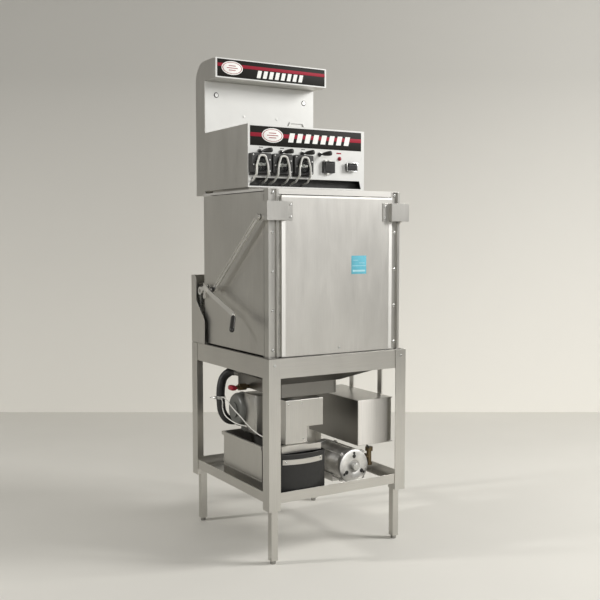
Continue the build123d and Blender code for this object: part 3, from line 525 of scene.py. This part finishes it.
def sticker_bars():
    """Plain lines on the blue door sticker."""
    bm = bmesh.new()
    for x0, x1, z0, z1 in ((0.069, 0.139, 1.238, 1.2405), (0.074, 0.100, 1.262, 1.2645),
                           (0.104, 0.134, 1.250, 1.2525), (0.072, 0.136, 1.214, 1.222)):
        rounded_box(bm, (x0, DOOR_Y - 0.0007, z0), (x1, DOOR_Y - 0.0004, z1), 0.0001, 1)
    return add_piece("door_sticker_bars", bm, INK_PALE, "door")


def vent_washers():
    """The black cup washers of the two screws on the lower vent panel."""
    bm = bmesh.new()
    for x, z in ((-0.240, 2.028), (0.241, 2.026)):
        turned(bm, [(0.0125, 0), (0.0125, 0.0008), (0.0118, 0.0012), (0.0092, 0.0012), (0.0090, 0.0004)],
               (x, VENT_FACE_Y, z), (0, -1, 0), steps=28)
    return add_piece("vent_screw_washers", bm, RUBBER, "machine")


badge_marks("control_badge_marks", *CONTROL_BADGE, PANEL_Y - 0.0019)
badge_marks("header_badge_marks", *HEADER_BADGE, HEAD_Y - 0.0017)
sticker_bars()
vent_washers()


# Control details ------------------------------------------------------------
def toggle_switch(index, toggle_x):
    """The turned bat of one toggle, in place of its plain CAD rod, and the nut round its neck."""
    letter = "abcd"[index]
    root = Vector((toggle_x, PANEL_Y - 0.009, TOGGLE_Z))
    along = Vector((0.030, -0.036, 0.004))
    reach = along.length
    bat = bmesh.new()
    turned(bat, [(0.0012, -0.0046), (0.0038, -0.0030), (0.0048, 0), (0.0036, 0.0034), (0.0034, reach * 0.2),
                 (0.0070, reach * 0.34), (0.0096, reach * 0.6), (0.0108, reach * 0.85),
                 (0.0104, reach + 0.0030), (0.0078, reach + 0.0066), (0.0020, reach + 0.0084)],
           root, along, steps=24)
    piece = add_piece(f"toggle_bat_{letter}", bat, BLACK, f"toggle_{letter}")
    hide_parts(f"toggle_{index + 1}")
    nut = bmesh.new()
    turned(nut, [(0.0124, 0), (0.0124, 0.0022), (0.0112, 0.0030), (0.0094, 0.0030), (0.0094, 0.0006)],
           (toggle_x, PANEL_Y, TOGGLE_Z), (0, -1, 0), steps=24, hexed=(0, 1, 2))
    add_piece(f"toggle_nut_{letter}", nut, ZINC, "machine")


def pump_details(number, pump_x):
    """The four cover screws of one peristaltic pump and the three roller caps on its rotor."""
    screws = bmesh.new()
    for dx, dz in ((-0.038, -0.008), (0.040, 0.014), (-0.040, 0.034), (0.041, -0.034)):
        turned(screws, [(0.0038, 0), (0.0038, 0.0012), (0.0030, 0.0022), (0.0012, 0.0022), (0.0010, 0.0012)],
               (pump_x + dx, PANEL_Y - 0.030, 1.680 + dz), (0, -1, 0), steps=16)
    add_piece(f"pump_screws_{number}", screws, ZINC, "machine")
    rollers = bmesh.new()
    for reach in (-0.016, 0, 0.016):
        turned(rollers, [(0.0062, 0), (0.0062, 0.0012), (0.0050, 0.0020), (0.0024, 0.0020), (0.0020, 0.0008)],
               (pump_x + reach, PANEL_Y - 0.026, 1.674), (0, -1, 0), steps=24)
    add_piece(f"pump_rollers_{number}", rollers, ALLOY, f"rotor_{number}")


def rocker_details():
    """White clips round the left rocker and the bright frame round the right one."""
    clips = bmesh.new()
    for x, z in ((0.086, 1.7035), (0.108, 1.7035), (0.097, 1.6465)):
        rounded_box(clips, (x - 0.006, PANEL_Y - 0.014, z - 0.004), (x + 0.006, PANEL_Y, z + 0.004), 0.0012)
    add_piece("rocker_clips", clips, NYLON, "machine")
    rim = bmesh.new()
    for x0, x1, z0, z1 in ((0.198, 0.256, 1.6985, 1.7010), (0.198, 0.256, 1.6615, 1.6640),
                           (0.1975, 0.1999, 1.6615, 1.7010), (0.2541, 0.2565, 1.6615, 1.7010)):
        rounded_box(rim, (x0, PANEL_Y - 0.0172, z0), (x1, PANEL_Y - 0.0135, z1), 0.0006, 2)
    add_piece("rocker_frame", rim, ZINC, "machine")


for index, toggle_x in enumerate(TOGGLES_X):
    toggle_switch(index, toggle_x)
for index, pump_x in enumerate((-0.253, -0.147, -0.039)):
    pump_details(index + 1, pump_x)
rocker_details()


# Equipment details ----------------------------------------------------------
def banded(name, x, y, z, radius, axis, width, material):
    """A worm-drive clamp round a hose."""
    bm = bmesh.new()
    turned(bm, [(radius, -width / 2), (radius + 0.0012, -width / 2 + 0.0004),
                (radius + 0.0012, width / 2 - 0.0004), (radius, width / 2)], (x, y, z), axis, steps=40)
    rounded_box(bm, (x - radius - 0.008, y - 0.008, z - 0.006), (x - radius + 0.002, y + 0.010, z + 0.006),
                0.0015)
    turned(bm, [(0.0026, 0), (0.0026, 0.030), (0.0042, 0.031), (0.0042, 0.036), (0.0030, 0.037)],
           (x - radius - 0.003, y - 0.004, z), (-0.45, 1, 0), steps=12)
    return add_piece(name, bm, material, "machine")


def junction_box():
    """The terminal box on the side of the wash motor, with a lid and two screws."""
    box = bmesh.new()
    rounded_box(box, (-0.2545, -0.107, 0.486), (-0.160, 0.006, 0.665), 0.006, 4)
    rounded_box(box, (-0.2565, -0.098, 0.496), (-0.2540, -0.003, 0.655), 0.001, 2)
    add_piece("motor_junction_box", box, STEEL, "machine")
    screws = bmesh.new()
    for z in (0.506, 0.645):
        turned(screws, [(0.004, 0), (0.004, 0.0014), (0.003, 0.0024), (0.0012, 0.0024), (0.001, 0.001)],
               (-0.2565, -0.05, z), (-1, 0, 0), steps=16)
    add_piece("junction_box_screws", screws, ZINC, "machine")


def edge_painted_highlights():
    """Bright strips on the door, painted highlight for its folded edges: one up each side as far as the
    brackets, one along the top.
    """
    bm = bmesh.new()
    # painted highlight: bright strips along the door's folded edges
    for side in (-1, 1):
        x0, x1 = sorted((side * 0.2805, side * 0.2625))
        rounded_box(bm, (x0, DOOR_Y - 0.0008, 0.870), (x1, DOOR_Y, 1.428), 0.0003, 1)
    rounded_box(bm, (-0.2805, DOOR_Y - 0.0008, 1.524), (0.2805, DOOR_Y, 1.533), 0.0003, 1)
    return add_piece("door_edge_painted_highlights", bm, EDGE_HIGHLIGHT_STEEL, "door")


def valve_grip():
    """The soft red end of the valve handle."""
    bm = bmesh.new()
    rounded_box(bm, (-0.3290, -0.022, 0.679), (-0.3040, 0.022, 0.701), 0.007, 4)
    return add_piece("valve_grip", bm, RED, "handle")


def drum_screws():
    """Two screws near the top of the black drum's curved front."""
    bm = bmesh.new()
    centre_x, centre_y, radius, z = -0.168, -0.118, 0.267, 0.4215
    for angle in (-0.33, 0.31):
        spot = Vector((centre_x + radius * math.sin(angle), centre_y - radius * math.cos(angle), z))
        turned(bm, [(0.0044, 0), (0.0044, 0.0012), (0.0032, 0.0022), (0.0012, 0.0022), (0.001, 0.001)], spot,
               (math.sin(angle), -math.cos(angle), 0), steps=16)
    return add_piece("drum_screws", bm, ZINC, "machine")


def heater_painted_shade_and_light():
    """Thin sheets on the left and front of the heater box: painted shade on the left face, painted light on
    the front.
    """
    left = bmesh.new()
    # painted shade: a dark sheet on the left face
    rounded_box(left, (0.1370, -0.328, 0.439), (0.1380, 0.078, 0.638), 0.0003, 1)
    add_piece("heater_left_painted_shade", left, SHADED_TANK_STEEL, "machine")
    front = bmesh.new()
    # painted light: a paler sheet on the front face
    rounded_box(front, (0.1395, -0.3308, 0.4385), (0.3005, -0.3300, 0.6385), 0.0003, 1)
    add_piece("heater_front_painted_light", front, PALE_STEEL_LIT, "machine")


def drain_bell():
    """The bright end plate of the drain motor, with a large and a small dark disc at every third, painted
    shade standing for its vent holes.
    """
    x, y, z = 0.122, -0.322, 0.346
    plate = bmesh.new()
    turned(plate, [(0.0745, -0.001), (0.0745, 0.0006), (0.0700, 0.0030), (0.0320, 0.0030), (0.0290, 0.0016),
                   (0.0290, -0.001)], (x, y, z), (0, -1, 0), steps=48)
    add_piece("drain_bell_face", plate, BELL, "machine")
    vent_shade = bmesh.new()
    # painted shade: dark discs for the vent holes
    for third in range(3):
        angle = math.radians(90 + 120 * third)
        for reach, size in ((0.046, 0.0090), (0.060, 0.0062)):
            turned(vent_shade, [(size, 0), (size, 0.0006), (size * 0.8, 0.0010), (size * 0.3, 0.0010)],
                   (x + reach * math.cos(angle), -0.3250, z + reach * math.sin(angle)), (0, -1, 0), steps=20)
    add_piece("drain_bell_vent_shade", vent_shade, RUBBER, "machine")


banded("hose_clamp", -0.2835, 0.184, 0.616, 0.0215, (0.02, 0, 1), 0.014, ZINC)
junction_box()
edge_painted_highlights()
valve_grip()
drum_screws()
heater_painted_shade_and_light()
drain_bell()


# Hose and tubes -------------------------------------------------------------
HOSE_RADIUS = 0.020
TUBE_RADIUS = 0.0026
WIRE_RADIUS = 0.0035
SUCTION_HOSE = [(-0.226, 0.146, 0.739), (-0.243, 0.167, 0.735), (-0.267, 0.185, 0.709),
                (-0.280, 0.186, 0.671), (-0.284, 0.185, 0.630), (-0.283, 0.184, 0.590),
                (-0.278, 0.182, 0.550), (-0.260, 0.177, 0.518), (-0.236, 0.170, 0.505),
                (-0.205, 0.165, 0.504)]
DIAGONAL_TUBE = [(-0.288, 0.166, 0.620), (-0.291, 0.123, 0.620), (-0.291, 0.043, 0.587),
                 (-0.291, -0.035, 0.560), (-0.291, -0.119, 0.530), (-0.291, -0.210, 0.512),
                 (-0.280, -0.262, 0.508), (-0.2485, -0.285, 0.508)]
LOOPED_TUBE = [(-0.289, 0.166, 0.612), (-0.293, 0.146, 0.600), (-0.293, 0.145, 0.571), (-0.293, 0.110, 0.539),
               (-0.288, 0.020, 0.522), (-0.2550, -0.020, 0.512)]
DRAIN_VALVE_WIRE = [(0.222, -0.300, 0.408), (0.206, -0.312, 0.424), (0.196, -0.300, 0.438)]


def smooth_run(points, count=10):
    """A smooth line through the points."""
    spots = [Vector(p) for p in points]
    spots = [2 * spots[0] - spots[1]] + spots + [2 * spots[-1] - spots[-2]]
    run = []
    for a, b, c, d in zip(spots, spots[1:], spots[2:], spots[3:]):
        for step in range(count):
            t = step / count
            run.append(0.5 * (2 * b + (c - a) * t + (2 * a - 5 * b + 4 * c - d) * t * t
                              + (3 * b - a - 3 * c + d) * t ** 3))
    return run + [spots[-2]]


def tube_piece(name, points, radius, material, steps=10):
    """A fixed round tube through the points."""
    bm = bmesh.new()
    swept(bm, smooth_run(points), radius, steps=steps)
    return add_piece(name, bm, material, "machine")


hose = tube_piece("suction_hose_tube", SUCTION_HOSE, HOSE_RADIUS, RUBBER, steps=32)
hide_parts("suction_hose")
tube_piece("diagonal_tube", DIAGONAL_TUBE, TUBE_RADIUS, NYLON)
tube_piece("looped_tube", LOOPED_TUBE, TUBE_RADIUS, NYLON)
tube_piece("drain_valve_wire", DRAIN_VALVE_WIRE, WIRE_RADIUS, RUBBER)


# Stage, light and camera ------------------------------------------------------
def stage_material(name, colour, rough, see_through=False):
    """Matt stage paint; the wall has painted light, paler towards the floor, and shows only its front."""
    s = Shader(name, colour, rough)
    s.set(Specular_IOR_Level=0.2)
    if not see_through:
        s.tint(s.spread(s.noise(0.9, detail=3), 0, 1), shade(colour, 0.975), shade(colour, 1.02))
    else:
        split = s.tree.nodes.new("ShaderNodeSeparateXYZ")
        s.tree.links.new(s.coords, split.inputs["Vector"])
        # painted light: the wall is tinted paler towards the floor
        s.tint(s.spread(split.outputs["Y"], 0, 1, -6.0, -3.4), shade(colour, 1.8), shade(colour, 1.0))
        geometry = s.tree.nodes.new("ShaderNodeNewGeometry")
        clear_side = s.tree.nodes.new("ShaderNodeBsdfTransparent")
        mix = s.tree.nodes.new("ShaderNodeMixShader")
        out = s.tree.nodes["Material Output"]
        s.tree.links.new(geometry.outputs["Backfacing"], mix.inputs["Fac"])
        s.tree.links.new(s.bsdf.outputs["BSDF"], mix.inputs[1])
        s.tree.links.new(clear_side.outputs["BSDF"], mix.inputs[2])
        s.tree.links.new(mix.outputs["Shader"], out.inputs["Surface"])
    return s.mat


YAW = math.radians(31.240)
PITCH = math.radians(-4.008)
CAMERA_AT = Vector((-2.1252, -3.5659, 1.3630))
WALL_DISTANCE = 6.94


def flat_sheet(name, width, depth, matrix, material):
    """A finely divided sheet for the stage."""
    bm = bmesh.new()
    bmesh.ops.create_grid(bm, x_segments=8, y_segments=8, size=0.5)
    bmesh.ops.scale(bm, vec=(width, depth, 1), verts=bm.verts)
    mesh = bpy.data.meshes.new(name)
    bm.to_mesh(mesh)
    bm.free()
    mesh.materials.append(material)
    obj = bpy.data.objects.new(name, mesh)
    bpy.context.scene.collection.objects.link(obj)
    obj.matrix_world = matrix
    return obj


floor_mat = stage_material("studio_floor", (0.66, 0.645, 0.6), 0.6)
wall_mat = stage_material("studio_wall", (0.44, 0.430, 0.402), 0.9, see_through=True)
flat_sheet("studio_floor", 40, 40, Matrix.Translation((0, 0, -0.0005)), floor_mat)
ahead = Vector((math.sin(YAW), math.cos(YAW), 0))
wall_at = CAMERA_AT + ahead * WALL_DISTANCE
wall_turn = Matrix.Rotation(-YAW, 4, "Z") @ Matrix.Rotation(math.radians(90), 4, "X")
flat_sheet("studio_wall", 30, 12, Matrix.Translation((wall_at.x, wall_at.y, 5.99)) @ wall_turn, wall_mat)


def soft_light(name, spot, target, size, power, colour=(1, 1, 1)):
    light = bpy.data.lights.new(name, "AREA")
    light.shape = "RECTANGLE"
    light.size, light.size_y = size
    light.energy = power
    light.color = colour
    obj = bpy.data.objects.new(name, light)
    obj.location = spot
    obj.rotation_euler = (Vector(target) - Vector(spot)).to_track_quat("-Z", "Y").to_euler()
    bpy.context.scene.collection.objects.link(obj)
    return obj


soft_light("key", (3.4, -2.6, 3.4), (0, 0, 0.9), (1.5, 1.5), 215, (1.0, 0.99, 0.975))
soft_light("front_fill", (-0.4, -6.0, 2.9), (0, 0, 1.1), (4.0, 2.4), 112, (1.0, 0.995, 0.98))
soft_light("low_front", (0.9, -5.2, 0.7), (0.15, 0, 0.5), (3.0, 0.9), 7, (1.0, 0.99, 0.97))
soft_light("left_rear", (-4.4, 1.3, 2.7), (-0.3, 0, 1.2), (0.4, 0.4), 104, (1.0, 0.985, 0.96))

world = bpy.data.worlds.new("studio")
world.use_nodes = True
bpy.context.scene.world = world
world.node_tree.nodes["Background"].inputs["Color"].default_value = (0.80, 0.795, 0.775, 1)
world.node_tree.nodes["Background"].inputs["Strength"].default_value = 0.29

camera_data = bpy.data.cameras.new("camera")
camera_data.lens = 53.97
camera_data.sensor_width = 36.0
camera = bpy.data.objects.new("camera", camera_data)
camera.location = CAMERA_AT
camera.rotation_euler = (math.radians(90) + PITCH, 0, -YAW)
bpy.context.scene.collection.objects.link(camera)
bpy.context.scene.camera = camera
bpy.context.scene.view_settings.view_transform = "Standard"
